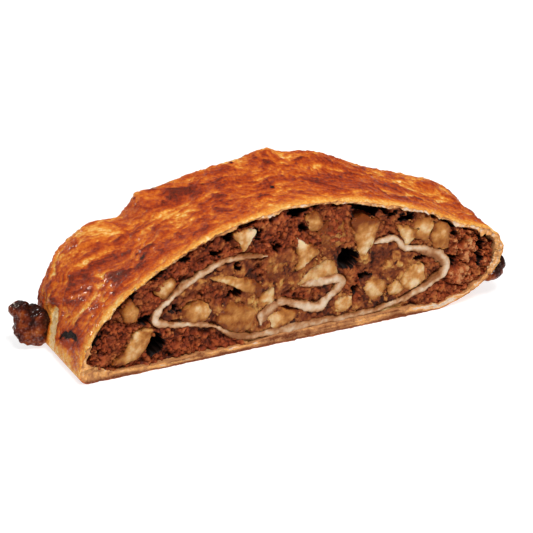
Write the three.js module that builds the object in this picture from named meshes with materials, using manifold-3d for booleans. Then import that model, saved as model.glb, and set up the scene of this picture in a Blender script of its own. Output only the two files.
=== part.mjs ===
// A slice of apple strudel, resting on its flat underside. Millimetres, +Z up.
// X runs across the roll and Y along it, so the two knife cuts face -Y and +Y.
// The dough is wrapped round the outside, turned once more inside, and folded at the core.
// Crumb filling lies between the turns, and pieces of apple are bedded in it at both cuts.

import * as THREE from "three";
import { mergeVertices } from "three/addons/utils/BufferGeometryUtils.js";
import Module from "manifold-3d";

const wasm = await Module();
wasm.setup();

// Driving dimensions
const SLICE_DEPTH = 36; // between the two cuts
const CROWN_HEIGHT = 43; // top of the baked crown
const LEFT_REACH = 68.5; // from the crown's top to the left foot
const RIGHT_REACH = 76; // the same to where the right side would meet the ground
const CROWN_POWER = 1.6; // 2 is an ellipse, less is more pointed
const LIP_TOP = 26.5; // height where the crown turns over into the right lip
const CROWN_DOUGH = 2; // thickness of the wrap over the filling
const FLANK_DOUGH = 2.6; // thickness of the wrap at its left foot
const BASE_DOUGH = 3; // thickness of the wrap under the filling
const SHEET_DOUGH = 2; // thickness of the dough inside the roll
const CORNER = 1.8; // rounding of the wrap's left foot
const FIT = 0.3; // gap between neighbouring pieces
const CUT = SLICE_DEPTH / 2; // distance of each cut from the middle
const SHEET_SETBACK = 0.4; // the inner dough ends this far behind the cut
const CRUMB_SETBACK = 1.1; // the crumb lies this far behind the cut on average
const CRUMB_RELIEF = 0.9; // how far its lumps rise and fall from there
const CRUMB_SEED = 23;

// Steps of the faceted surfaces
const CROWN_STEPS = 42;
const LIP_STEPS = 10;
const BASE_STEPS = 12;
const OUTSIDE_STEPS = 12; // along the roll
const INSIDE_STEPS = 4;
const SHEET_STEP = 3.2; // along the inner dough
const CRUMB_STEP = 4.6; // between the crumb's lumps
const CARAMEL_DETAIL = 2; // splits of an icosahedron's edges
const HOLLOW_DETAIL = 1;

// The outer and the inner face of the wrap, which differ by its thickness.
// The lip goes from the crown over a shoulder and a tip, and along its underside to the foot.
const WRAP_OUTSIDE = {
  left: LEFT_REACH,
  right: RIGHT_REACH,
  height: CROWN_HEIGHT,
  floor: 0,
  shoulder: [67.8, 22],
  tip: [70.6, 13.2],
  under: [62.4, 5],
  foot: [49, 0],
};
const WRAP_INSIDE = {
  left: LEFT_REACH - FLANK_DOUGH,
  right: RIGHT_REACH - FLANK_DOUGH,
  height: CROWN_HEIGHT - CROWN_DOUGH,
  floor: BASE_DOUGH,
  shoulder: [65, 19.8],
  tip: [67.2, 13.4],
  under: [60.6, 7.6],
  foot: [47.5, BASE_DOUGH],
};

// Rises and dips of the crown: the middle, the rise, and the reach across and along the roll
const CROWN_RELIEF = [
  { x: -55.4, y: 16, rise: 4.7, across: 10.8, along: 11 },
  { x: -46, y: 17, rise: 3, across: 6.8, along: 9 },
  { x: -37.5, y: 18, rise: -3, across: 7.4, along: 8 },
  { x: -34, y: 17, rise: 5.9, across: 4.6, along: 8 },
  { x: -25, y: 17, rise: 2.2, across: 8, along: 9 },
  { x: -18, y: 4, rise: 0.9, across: 8, along: 8 },
  { x: -3, y: -4, rise: -0.7, across: 7, along: 8 },
  { x: 5, y: 18, rise: 2, across: 40, along: 14 },
  { x: 6.5, y: 17, rise: 3.6, across: 4, along: 4 },
  { x: 22, y: 17, rise: 1.8, across: 9, along: 9 },
  { x: 60, y: 15, rise: 3, across: 11, along: 11 },
];
const BLISTERS = { count: 70, rise: 0.8, least: 2.6, most: 5.5, seed: 11 };

// Middle lines of the inner dough in the cut, each from one end to the other.
// The inner turn starts over the core, goes round the left, along the base and up the right.
const ON_BASE = BASE_DOUGH + FIT + SHEET_DOUGH / 2;
const INNER_TURN = [
  [-9, 28.4],
  [-19.5, 29.6],
  [-30.5, 26.4],
  [-40, 20.6],
  [-44.4, 16.4],
  [-41.6, 13],
  [-34, 11.6],
  [-27, 10],
  [-21.5, 6.6],
  [-14, ON_BASE],
  [6, ON_BASE],
  [26, ON_BASE],
  [38, 6.2],
  [47, 9.4],
  [51, 13.6],
  [48.4, 18],
  [42, 20.8],
  [36.6, 22.4],
  [32.4, 26],
  [26, 25.8],
];
const CORE_FOLD = [
  [-11, 7.6],
  [-9.3, 10.6],
  [-5.8, 13],
  [-2, 12.4],
  [3, 10.3],
  [8.2, 9.4],
  [12.3, 11.6],
  [15, 14.8],
  [12.6, 17.2],
  [7, 17.6],
  [1, 18.1],
  [-3, 17.8],
];

// Pieces of apple in a cut: the middle, the size, the corners of its outline,
// and the turn of its first corner from straight up, anticlockwise in degrees.
const APPLE_PIECES = [
  { name: "under_crown", x: -16, z: 35, wide: 7, tall: 9, corners: 3, turn: 180 },
  { name: "long_sliver", x: -18, z: 22.4, wide: 6, tall: 18, corners: 3, turn: 82 },
  { name: "leaning_wedge", x: 3.2, z: 27, wide: 8.5, tall: 11.5, corners: 3, turn: 28 },
  { name: "pale_flap", x: 8.6, z: 20.8, wide: 8.2, tall: 15, corners: 5, turn: -62 },
  { name: "broad_chunk", x: 13.4, z: 31.8, wide: 11, tall: 11, corners: 5, turn: 10 },
  { name: "thin_edge", x: 6.8, z: 36, wide: 4.6, tall: 7.5, corners: 5, turn: 15 },
  { name: "standing_wedge", x: 22.4, z: 28.4, wide: 10, tall: 14, corners: 5, turn: 176 },
  { name: "right_wedge", x: 37.2, z: 26.4, wide: 7, tall: 9.5, corners: 3, turn: 48 },
  { name: "right_chunk", x: 42, z: 27.2, wide: 7.5, tall: 8, corners: 5, turn: -20 },
  { name: "right_block", x: 48.2, z: 24, wide: 7, tall: 10, corners: 5, turn: 8 },
  { name: "round_large", x: 39, z: 12.4, wide: 9, tall: 9, corners: 7, turn: 0 },
  { name: "round_middle", x: 26.6, z: 11, wide: 8, tall: 8, corners: 7, turn: 20 },
  { name: "round_small", x: 33.2, z: 9.8, wide: 5, tall: 5.4, corners: 6, turn: 10 },
  { name: "brown_block", x: 31, z: 17.4, wide: 7.6, tall: 7, corners: 5, turn: 40 },
  { name: "by_core", x: 16, z: 8.2, wide: 7, tall: 6, corners: 6, turn: 0 },
  { name: "in_left_turn", x: -31.8, z: 15.2, wide: 9, tall: 7.4, corners: 6, turn: 25 },
  { name: "large_chunk", x: -19, z: 10.8, wide: 9.6, tall: 14, corners: 5, turn: 80 },
  { name: "small_wedge", x: -8.6, z: 15.2, wide: 6, tall: 7.4, corners: 3, turn: -25 },
  { name: "under_core", x: -4.4, z: 7.8, wide: 9.5, tall: 5, corners: 5, turn: 0 },
  { name: "long_slice", x: -50.5, z: 9, wide: 6.4, tall: 17, corners: 6, turn: -44 },
  { name: "left_small", x: -52, z: 18.4, wide: 5, tall: 6.6, corners: 5, turn: 0 },
  { name: "over_left_turn", x: -40.6, z: 24.2, wide: 6.4, tall: 5, corners: 5, turn: 30 },
  { name: "middle_chunk", x: -5.2, z: 23.6, wide: 9.6, tall: 8, corners: 5, turn: -15 },
];
const APPLE = { depth: 11, rounding: 1.1, uneven: 0.14, tilt: 9, seed: 5 };
const APPLE_PROUD = 0.7; // the furthest that a piece stands out of the cut
const FAR_SHRINK = 0.94; // the pieces in the far cut are a little smaller, and turned
const FAR_TURN = 35;
const FAR_LEAST = 50; // width times height: smaller ones than this are in the near cut only

// Hollows that the filling leaves open at a cut: the middle, the width and the height
const HOLLOWS = [
  { x: 1, z: 40.4, wide: 8, tall: 4 },
  { x: 22, z: 37.4, wide: 12, tall: 5 },
  { x: 15.6, z: 23.4, wide: 5.6, tall: 6 },
  { x: -44.6, z: 7.6, wide: 6, tall: 7 },
  { x: -52, z: 24.4, wide: 5, tall: 4.4 },
  { x: -63.2, z: 13.6, wide: 4, tall: 8 },
  { x: -19, z: 18.8, wide: 6, tall: 2.6 },
  { x: 50, z: 27, wide: 7, tall: 2.6 },
  { x: 61, z: 16.8, wide: 4, tall: 8.6 },
];
const HOLLOW_DEPTH = 6;

// Juice that boiled out and browned on the wrap, as round lumps: the middle and the half sizes
const LEFT_CARAMEL = [
  { at: [-71.4, 11.5, 6.9], half: [5.9, 6.4, 6.4] },
  { at: [-69.6, 7.6, 6.8], half: [4.2, 4.4, 4.6] },
  { at: [-74, 12.6, 12.2], half: [3.4, 3.6, 3.4] },
];
const RIGHT_CARAMEL = [
  { at: [67.4, -12.6, 8], half: [5, 5, 2.8] },
  { at: [70.6, -14.4, 9.6], half: [2, 2.4, 2.2] },
];

// Pseudo-random numbers from 0 to 1, the same on every run
function seededRandom(seed) {
  let state = seed;
  return () => {
    state = (state * 1664525 + 1013904223) % 4294967296;
    return state / 4294967296;
  };
}

// A closed three.js geometry as a solid that can be joined and cut
function toSolid(geometry) {
  const bare = geometry.clone();
  bare.deleteAttribute("normal");
  bare.deleteAttribute("uv");
  const merged = mergeVertices(bare, 1e-4);
  return new wasm.Manifold(
    new wasm.Mesh({
      numProp: 3,
      vertProperties: merged.attributes.position.array,
      triVerts: new Uint32Array(merged.index.array),
    }),
  );
}

// The largest body of a solid, without the scraps that a cut leaves
function largestBody(solid) {
  return solid.decompose().reduce((a, b) => (a.volume() > b.volume() ? a : b));
}

function toMesh(name, solid, finish) {
  const { vertProperties, triVerts } = solid.getMesh();
  const geometry = new THREE.BufferGeometry();
  geometry.setAttribute("position", new THREE.BufferAttribute(vertProperties, 3));
  geometry.setIndex(new THREE.BufferAttribute(triVerts, 1));
  geometry.computeVertexNormals();
  const mesh = new THREE.Mesh(
    geometry,
    new THREE.MeshStandardMaterial({ ...finish, metalness: 0 }),
  );
  mesh.name = name;
  return mesh;
}

// Extrudes an outline in X and Z along Y, centred on the middle of the slice
function extrudeAlongRoll(outline, depth) {
  const geometry = new THREE.ExtrudeGeometry(new THREE.Shape(outline), {
    depth,
    bevelEnabled: false,
  });
  geometry.rotateX(Math.PI / 2);
  geometry.translate(0, depth / 2, 0);
  return toSolid(geometry);
}

// A solid along the roll whose outline, clockwise seen from the near cut, changes on the way
function loftAlongRoll(outlineAt, reach, steps) {
  const places = Array.from({ length: steps + 1 }, (_, j) =>
    THREE.MathUtils.lerp(-reach, reach, j / steps),
  );
  const outlines = places.map(outlineAt);
  const count = outlines[0].length;
  const positions = places.flatMap((y, j) => outlines[j].flatMap((point) => [point.x, y, point.y]));
  const triangles = [];
  for (let j = 0; j < steps; j++) {
    for (let i = 0; i < count; i++) {
      const a = j * count + i;
      const b = j * count + ((i + 1) % count);
      triangles.push(a, b, b + count, a, b + count, a + count);
    }
  }
  const last = steps * count;
  for (const [a, b, c] of THREE.ShapeUtils.triangulateShape(outlines[0], [])) {
    triangles.push(a, b, c);
  }
  for (const [a, b, c] of THREE.ShapeUtils.triangulateShape(outlines[steps], [])) {
    triangles.push(last + c, last + b, last + a);
  }
  const geometry = new THREE.BufferGeometry();
  geometry.setAttribute("position", new THREE.Float32BufferAttribute(positions, 3));
  geometry.setIndex(triangles);
  return toSolid(geometry);
}

// The outline of one face of the wrap: over the crown from left to right, round the lip,
// and back along the base
function wrapOutline({ left, right, height, floor, shoulder, tip, under, foot }) {
  const points = [];
  const first = Math.asin((floor + CORNER) / height);
  const last = Math.PI - Math.asin(LIP_TOP / height);
  for (let i = 0; i <= CROWN_STEPS; i++) {
    const angle = first + ((last - first) * i) / CROWN_STEPS;
    const across = Math.abs(Math.cos(angle)) ** (2 / CROWN_POWER);
    const x = angle < Math.PI / 2 ? -left * across : right * across;
    points.push(new THREE.Vector2(x, height * Math.sin(angle)));
  }
  const lip = new THREE.SplineCurve([
    points.at(-1),
    new THREE.Vector2(...shoulder),
    new THREE.Vector2(...tip),
    new THREE.Vector2(...under),
    new THREE.Vector2(...foot),
  ]);
  points.push(...lip.getSpacedPoints(LIP_STEPS).slice(1));
  for (let i = 1; i <= BASE_STEPS; i++) {
    const x = THREE.MathUtils.lerp(foot[0], CORNER - left, i / BASE_STEPS);
    points.push(new THREE.Vector2(x, floor));
  }
  return points;
}

// Outward unit normals of a closed outline
function outlineNormals(points) {
  return points.map((_, i) => {
    const before = points.at(i - 1);
    const after = points[(i + 1) % points.length];
    return new THREE.Vector2(before.y - after.y, after.x - before.x).normalize();
  });
}

// Seeded blisters on the outside of the crown
const blisters = (() => {
  const random = seededRandom(BLISTERS.seed);
  return Array.from({ length: BLISTERS.count }, () => {
    const reach = THREE.MathUtils.lerp(BLISTERS.least, BLISTERS.most, random());
    return {
      x: THREE.MathUtils.lerp(-LEFT_REACH, RIGHT_REACH, random()),
      y: THREE.MathUtils.lerp(-CUT, CUT, random()),
      rise: BLISTERS.rise * (random() - 0.35),
      across: reach * 1.3,
      along: reach,
    };
  });
})();

// How far bumps lift the crown at a place. They fade out towards the base.
function liftAt(bumps, x, y, z) {
  const rises = bumps.map((bump) => {
    const far = ((x - bump.x) / bump.across) ** 2 + ((y - bump.y) / bump.along) ** 2;
    return bump.rise * Math.exp(-far);
  });
  return THREE.MathUtils.smoothstep(z, 5, 15) * rises.reduce((sum, rise) => sum + rise, 0);
}

// The space inside one face of the wrap, lifted by bumps and grown by an amount
function wrapSpace(face, bumps, grow, reach, steps) {
  const outline = wrapOutline(face);
  const normals = outlineNormals(outline);
  const outlineAt = (y) =>
    outline.map((point, i) => {
      const lift = liftAt(bumps, point.x, y, point.y);
      return point.clone().addScaledVector(normals[i], lift + grow);
    });
  return loftAlongRoll(outlineAt, reach, steps);
}

function outsideOfWrap(grow) {
  return wrapSpace(WRAP_OUTSIDE, [...CROWN_RELIEF, ...blisters], grow, CUT, OUTSIDE_STEPS);
}

// The inside runs past both cuts, so that the wrap is open there
function insideOfWrap(grow) {
  return wrapSpace(WRAP_INSIDE, CROWN_RELIEF, grow, CUT + 1, INSIDE_STEPS);
}

// A sheet of dough on its edge along a middle line, grown on every side by an amount
function sheetSolid(middle, grow) {
  const curve = new THREE.SplineCurve(middle.map(([x, z]) => new THREE.Vector2(x, z)));
  const steps = Math.round(curve.getLength() / SHEET_STEP);
  const half = SHEET_DOUGH / 2 + grow;
  const near = [];
  const far = [];
  curve.getSpacedPoints(steps).forEach((point, i) => {
    const along = curve.getTangentAt(i / steps);
    const ends = i === 0 ? -grow : i === steps ? grow : 0;
    const middlePoint = point.clone().addScaledVector(along, ends);
    const across = new THREE.Vector2(-along.y, along.x).multiplyScalar(half);
    near.push(middlePoint.clone().add(across));
    far.unshift(middlePoint.clone().sub(across));
  });
  return extrudeAlongRoll([...far, ...near], 2 * (CUT - SHEET_SETBACK + grow));
}

// A piece of apple with its cut outline in one of the two cuts, grown by an amount.
// The side is -1 for the near cut and 1 for the far one.
function appleSolid(piece, side, index, grow) {
  const random = seededRandom(APPLE.seed + 17 * index + (side > 0 ? 1000 : 0));
  const size = side > 0 ? FAR_SHRINK : 1;
  const turn = THREE.MathUtils.degToRad(piece.turn + (side > 0 ? FAR_TURN : 0));
  const inset = APPLE.rounding - grow;
  const outline = Array.from({ length: piece.corners }, (_, i) => {
    const angle = Math.PI / 2 + (2 * Math.PI * i) / piece.corners;
    const reach = size * (1 + APPLE.uneven * (2 * random() - 1));
    return new THREE.Vector2(
      Math.cos(angle) * (reach * 0.5 * piece.wide - inset),
      Math.sin(angle) * (reach * 0.5 * piece.tall - inset),
    );
  });
  const depth = APPLE.depth * (0.8 + 0.4 * random()) - 2 * inset;
  const geometry = new THREE.ExtrudeGeometry(new THREE.Shape(outline), {
    depth,
    bevelThickness: APPLE.rounding,
    bevelSize: APPLE.rounding,
    bevelSegments: 1,
  });
  const tilt = () => THREE.MathUtils.degToRad(APPLE.tilt * (2 * random() - 1));
  geometry.translate(0, 0, -depth / 2);
  geometry.rotateZ(turn);
  geometry.rotateX(Math.PI / 2 + tilt());
  geometry.rotateZ(tilt());
  const proud = APPLE_PROUD * random();
  const reachOut = depth / 2 + APPLE.rounding - grow;
  geometry.translate(piece.x, side * (CUT + proud - reachOut), piece.z);
  return toSolid(geometry);
}

// Round lumps joined into one
function lumps(list, detail) {
  const balls = list.map(({ at, half }) => {
    const geometry = new THREE.IcosahedronGeometry(1, detail);
    geometry.scale(...half);
    geometry.translate(...at);
    return toSolid(geometry);
  });
  return balls.reduce((all, ball) => all.add(ball));
}

// Juice browned on the outside of the wrap, fitted to it
function caramelSolid(list) {
  return largestBody(lumps(list, CARAMEL_DETAIL).subtract(outsideOfWrap(FIT)));
}

// A slab between two lumpy faces, one behind each cut, larger all round than the wrap
function crumbSlab() {
  const wide = 2 * RIGHT_REACH;
  const tall = 1.3 * CROWN_HEIGHT;
  const geometry = new THREE.BoxGeometry(
    wide,
    2 * (CUT - CRUMB_SETBACK),
    tall,
    Math.round(wide / CRUMB_STEP),
    1,
    Math.round(tall / CRUMB_STEP),
  );
  geometry.translate(0, 0, CROWN_HEIGHT / 2);
  geometry.deleteAttribute("normal");
  geometry.deleteAttribute("uv");
  const merged = mergeVertices(geometry, 1e-4);
  const random = seededRandom(CRUMB_SEED);
  const position = merged.attributes.position;
  for (let i = 0; i < position.count; i++) {
    const lump = CRUMB_RELIEF * (2 * random() - 1);
    position.setY(i, position.getY(i) + lump);
  }
  return toSolid(merged);
}

// The open hollows of both cuts
function hollowsSolid() {
  const list = [-1, 1].flatMap((side) =>
    HOLLOWS.map(({ x, z, wide, tall }) => ({
      at: [x, side * CUT, z],
      half: [wide / 2, HOLLOW_DEPTH, tall / 2],
    })),
  );
  return lumps(list, HOLLOW_DETAIL);
}

// Finishes
const CRUST = { color: 0xb4571c, roughness: 0.4 };
const DOUGH = { color: 0xdcc7a6, roughness: 0.6 };
const CRUMB = { color: 0x7a3d1c, roughness: 0.8 };
const FLESH = { color: 0xd9bd83, roughness: 0.4 };
const CARAMEL = { color: 0x4a160a, roughness: 0.25 };

const strudel = new THREE.Group();

strudel.add(toMesh("outer_dough", outsideOfWrap(0).subtract(insideOfWrap(0)), CRUST));
strudel.add(toMesh("caramel_left", caramelSolid(LEFT_CARAMEL), CARAMEL));
strudel.add(toMesh("caramel_right", caramelSolid(RIGHT_CARAMEL), CARAMEL));

// The inner dough, and the room that it takes out of its neighbours
let taken = null;
for (const [name, middle] of [
  ["inner_turn", INNER_TURN],
  ["core_fold", CORE_FOLD],
]) {
  strudel.add(toMesh(name, sheetSolid(middle, 0), DOUGH));
  const room = sheetSolid(middle, FIT);
  taken = taken ? taken.add(room) : room;
}

// The space inside the wrap, in which the apple and the crumb lie
const inside = insideOfWrap(-FIT);

// Each piece of apple is fitted round the dough and the pieces before it
for (const [side, place] of [
  [-1, "near"],
  [1, "far"],
]) {
  APPLE_PIECES.forEach((piece, index) => {
    if (side > 0 && piece.wide * piece.tall < FAR_LEAST) return;
    const solid = appleSolid(piece, side, index, 0).intersect(inside).subtract(taken);
    strudel.add(toMesh(`apple_${place}_${piece.name}`, largestBody(solid), FLESH));
    taken = taken.add(appleSolid(piece, side, index, FIT));
  });
}

const crumb = crumbSlab().intersect(inside).subtract(taken).subtract(hollowsSolid());
strudel.add(toMesh("filling", largestBody(crumb), CRUMB));

export default strudel;
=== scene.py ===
import itertools
import math

import bpy
import numpy as np
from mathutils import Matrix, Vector, noise
from mathutils.bvhtree import BVHTree


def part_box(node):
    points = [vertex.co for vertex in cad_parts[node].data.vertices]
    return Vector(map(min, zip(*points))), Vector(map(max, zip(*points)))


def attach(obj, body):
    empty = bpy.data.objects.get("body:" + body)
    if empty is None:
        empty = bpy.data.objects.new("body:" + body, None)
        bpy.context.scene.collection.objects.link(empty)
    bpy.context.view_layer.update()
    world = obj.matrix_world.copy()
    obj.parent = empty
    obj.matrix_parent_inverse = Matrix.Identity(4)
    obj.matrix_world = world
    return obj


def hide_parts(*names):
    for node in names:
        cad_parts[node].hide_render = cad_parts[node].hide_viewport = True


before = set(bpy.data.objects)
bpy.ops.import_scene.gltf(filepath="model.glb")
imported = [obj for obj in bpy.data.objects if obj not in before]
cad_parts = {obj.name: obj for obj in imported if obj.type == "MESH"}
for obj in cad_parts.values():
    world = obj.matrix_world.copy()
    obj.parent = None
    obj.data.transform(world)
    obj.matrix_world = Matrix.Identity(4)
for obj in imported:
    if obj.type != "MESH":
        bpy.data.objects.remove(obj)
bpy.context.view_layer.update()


# The wrap
# One sheet of dough is rolled round the filling, brushed with egg and baked until it is brown.
# It is wrinkled and blistered outside, cream where the knife went through, and flat where it lay.
MM = 0.001
ROLL_HEART = 10 * MM  # height of the line inside the roll that its surfaces are measured from
RAY_START = 200 * MM  # from the heart, well outside the roll
WRAP_COLUMNS = 840  # round the roll
WRAP_STATIONS = 37  # along it, as measured
WRAP_ROWS = 84  # along it, as made
CUT_ROWS = 8  # across the dough's thickness at a cut
LIP_LAYERS = 2  # folds of dough on each other in the lip
INSIDE_ROWS = np.array([0.3, 0.8, 1.5, 2.5, 4, 6, 9, 13]) * MM  # behind each cut
DRAGGED_THIN = 0.45  # share of the crust's thickness that the knife dragged off at the cuts
DRAGGED_LEFT = 0.3  # and how much more on the left
DRAGGED_MOST = 0.8  # and the most anywhere

wrap_low, wrap_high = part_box("outer_dough")
near_cut = wrap_low.y
far_cut = wrap_high.y


def surface_of(*meshes):
    """The surface of some meshes together, for casting rays at."""
    points = []
    faces = []
    for mesh in meshes:
        first = len(points)
        points.extend(vertex.co.copy() for vertex in mesh.vertices)
        faces.extend([first + corner for corner in face.vertices] for face in mesh.polygons)
    return BVHTree.FromPolygons(points, faces)


def smoothstep(low, high, values):
    share = np.clip((values - low) / (high - low), 0, 1)
    return share * share * (3 - 2 * share)


def between(low, high, lengths):
    """From 0 to 1 as lengths go from one limit to another, which are in millimetres."""
    return smoothstep(low * MM, high * MM, lengths)


def bell(lengths, reach):
    """1 at a length of 0, and less the farther off, with a reach in millimetres."""
    return np.exp(-((lengths / (reach * MM)) ** 2))


def blend(first, second, share):
    return first * (1 - share) + second * share


def soften(values, axis, passes, closed=False):
    """Evens values out along one axis of a grid, which may be closed on itself."""
    margins = [(1, 1) if k == axis else (0, 0) for k in range(values.ndim)]
    for _ in range(passes):
        padded = np.moveaxis(np.pad(values, margins, "wrap" if closed else "edge"), axis, 0)
        values = np.moveaxis((padded[:-2] + 2 * padded[1:-1] + padded[2:]) / 4, 0, axis)
    return values


def lumps(points, size, octaves=3, smoothness=1.0):
    """Fractal noise from about -1 to 1 at points, with the size of its largest lumps in millimetres."""
    places = (np.asarray(points) / (size * MM)).reshape(-1, 3).tolist()
    values = [noise.fractal(place, smoothness, 2.0, octaves) for place in places]
    return np.array(values).reshape(np.shape(points)[:-1])


def ridged(values):
    """Noise folded over, so that it makes sharp ridges."""
    return 0.5 - np.abs(values) * 1.6


def with_y(xz, y):
    """Points with their X and Z, and with one Y or a Y for each."""
    return np.stack([xz[..., 0], np.broadcast_to(y, xz.shape[:-1]), xz[..., 1]], -1)


def grid_faces(rows, columns, rows_closed, columns_closed):
    """Four-sided faces of a grid of points that is numbered row by row."""
    r, c = np.meshgrid(
        np.arange(rows if rows_closed else rows - 1),
        np.arange(columns if columns_closed else columns - 1),
        indexing="ij",
    )
    next_r = (r + 1) % rows
    next_c = (c + 1) % columns
    corners = [r * columns + c, r * columns + next_c, next_r * columns + next_c, next_r * columns + c]
    return np.stack(corners, -1).reshape(-1, 4)


def add_piece(name, points, faces, slot, replaced=(), **masks):
    """A smooth mesh piece that rides with the slice, with a value for each vertex in each mask."""
    mesh = bpy.data.meshes.new(name)
    mesh.from_pydata(np.asarray(points).reshape(-1, 3).tolist(), [], [list(face) for face in faces])
    for mask, values in masks.items():
        layer = mesh.attributes.new(mask, "FLOAT", "POINT")
        layer.data.foreach_set("value", np.ravel(values).astype(np.float32))
    mesh.shade_smooth()
    piece = bpy.data.objects.new(name, mesh)
    bpy.context.scene.collection.objects.link(piece)
    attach(piece, "root")
    if replaced:
        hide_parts(*replaced)
    return piece


wrap_surface = surface_of(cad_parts["outer_dough"].data)


def wrap_hit(angle, y, outside):
    """X and Z where a ray round the roll's heart meets the outside or the inside of the wrap."""
    way = Vector((math.cos(angle), 0, math.sin(angle)))
    heart = Vector((0, y, ROLL_HEART))
    if outside:
        hit = wrap_surface.ray_cast(heart + way * RAY_START, -way)[0]
    else:
        hit = wrap_surface.ray_cast(heart, way)[0]
    return hit.x, hit.z


# Columns go round the outside from the middle of the base over the right lip, closer on the crust
SWEEP_RAYS = 1441
BASE_TOP = 2 * MM  # the outside is base below this height
BASE_SPACING = 1.8  # space between columns on the base, when it is 1 on the crust
INSET = 0.05 * MM  # the first and last stations are this far behind the cuts
sweep = np.linspace(-0.5 * math.pi, 1.5 * math.pi, SWEEP_RAYS)
middle = np.array([wrap_hit(angle, 0, outside=True) for angle in sweep])
sweep_steps = np.hypot(*np.diff(middle, axis=0).T)
sweep_length = np.concatenate([[0], np.cumsum(sweep_steps)])
is_base = middle[1:, 1] < BASE_TOP
sweep_share = np.concatenate([[0], np.cumsum(sweep_steps / np.where(is_base, BASE_SPACING, 1))])
column_share = np.linspace(0, sweep_share[-1], WRAP_COLUMNS, endpoint=False)
round_roll = np.interp(column_share, sweep_share, sweep_length)
column_angles = np.interp(column_share, sweep_share, sweep)
stations = np.linspace(near_cut + INSET, far_cut - INSET, WRAP_STATIONS)


def measured_rings(outside):
    """Rings of the wrap at the stations, evened out round and along the roll."""
    rings = np.array([[wrap_hit(angle, y, outside) for angle in column_angles] for y in stations])
    return soften(soften(rings, 1, 8, closed=True), 0, 3)


wrap_outside = measured_rings(outside=True)
wrap_inside = measured_rings(outside=False)


def off_base(xz):
    """1 where the wrap has left the flat base, and 0 on it."""
    return np.maximum(between(5, 11, xz[..., 1]), between(54, 63, np.abs(xz[..., 0])))


def at_lip(xz):
    """1 at the tip of the right lip, where the wrap is thick, and 0 elsewhere."""
    return between(6, 11, xz[..., 1]) * between(22, 16, xz[..., 1]) * between(55, 64, xz[..., 0])


def at_left(xz):
    """1 on the left of the crown and the left flank, where the cut edge is thin, and 0 elsewhere."""
    return between(-8, -32, xz[..., 0]) * off_base(xz)


def at_left_foot(xz):
    """1 at the left end of the base, where the dough is thick, and 0 elsewhere."""
    return between(-55, -62, xz[..., 0]) * between(9, 4.5, xz[..., 1])


def on_left_base(xz):
    """1 on the left half of the base, where the dough is thin, and 0 elsewhere."""
    return between(-4, -20, xz[..., 0]) * (1 - off_base(xz))


def under_lip(xz):
    """1 where the wrap runs out from the base to under the lip, and 0 elsewhere."""
    return between(34, 52, xz[..., 0]) * between(11, 6, xz[..., 1])


NEAREST_REACH = 70  # columns to either side


def nearest_inside(outside, inside):
    """The inside of a ring, moved along itself so that each point is across from one of the outside."""
    shifts = np.arange(-NEAREST_REACH, NEAREST_REACH + 1)
    columns = np.arange(WRAP_COLUMNS)
    choices = inside[(columns[:, None] + shifts) % WRAP_COLUMNS]
    best = shifts[np.argmin(np.linalg.norm(choices - outside[:, None], axis=-1), axis=1)]
    place = columns + soften(best.astype(float), 0, 60, closed=True)
    low = np.floor(place).astype(int)
    return blend(inside[low % WRAP_COLUMNS], inside[(low + 1) % WRAP_COLUMNS], (place - low)[:, None])


wrap_inside = np.array([nearest_inside(*rings) for rings in zip(wrap_outside, wrap_inside)])
section_points = with_y(wrap_outside, stations[:, None]) * [1, 0, 1]
thinned = DRAGGED_THIN * np.maximum(off_base(wrap_outside), under_lip(wrap_outside))
thinned = thinned * (1 - at_lip(wrap_outside)) + DRAGGED_LEFT * at_left(wrap_outside)
thinned = thinned * (1 + 0.9 * lumps(section_points, 5))
thinned = thinned * (1 - at_left_foot(wrap_outside))
thin_base = 0.36 + 0.35 * lumps(section_points + [0, 0.2, 0], 9)
thinned = np.maximum(thinned, thin_base * on_left_base(wrap_outside))
behind_cut = np.minimum(stations - near_cut, far_cut - stations)[:, None]
thinned = np.clip(thinned, 0, DRAGGED_MOST) * (1 - 0.9 * between(1.5, 6, behind_cut))
wrap_inside = wrap_inside + (wrap_outside - wrap_inside) * thinned[..., None]


def rings_at(rings, places):
    """Rings of the wrap at places along the roll, between the measured stations."""
    step = stations[1] - stations[0]
    position = np.clip((places - stations[0]) / step, 0, WRAP_STATIONS - 1)
    low = np.minimum(position.astype(int), WRAP_STATIONS - 2)
    return blend(rings[low], rings[low + 1], (position - low)[:, None, None])


def knife_strays(ring, seed):
    """How far inward of its plane the knife's cut is, round the wrap."""
    places = with_y(ring, seed)
    return 0.15 * MM + 0.35 * MM * lumps(places, 4) + 0.25 * MM * lumps(places, 1.2, 2)


KNIFE_PULL = 1.2 * MM  # how far behind a cut the crust gave way to the knife
outside_rows = np.linspace(near_cut, far_cut, WRAP_ROWS)
outside_xz = rings_at(wrap_outside, outside_rows)
near_stray = knife_strays(outside_xz[0], seed=0)
far_stray = knife_strays(outside_xz[-1], seed=1)
from_near = outside_rows[:, None] - near_cut
from_far = far_cut - outside_rows[:, None]
from_cut = np.minimum(from_near, from_far)
near_pull = near_stray * np.exp(-from_near / KNIFE_PULL)
far_pull = far_stray * np.exp(-from_far / KNIFE_PULL)
outside_y = outside_rows[:, None] + near_pull - far_pull
outside_z = outside_xz[..., 1]

along = np.roll(outside_xz, -1, 1) - np.roll(outside_xz, 1, 1)
outward = np.stack([along[..., 1], -along[..., 0]], -1)
outward /= np.linalg.norm(outward, axis=-1, keepdims=True)
crown = between(2, 9, outside_z)

# Places on the sheet of dough, as it lies round and along the roll
sheet = np.zeros((WRAP_ROWS, WRAP_COLUMNS, 3))
sheet[..., 0] = round_roll
sheet[..., 1] = outside_y
drift = lumps(sheet, 14, 2)
cross_drift = lumps(sheet + [0, 0, 0.2], 5, 2)
pulled = sheet + np.stack([drift * 4 * MM, drift * 4 * MM + cross_drift * 1.2 * MM, 0 * drift], -1)

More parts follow.
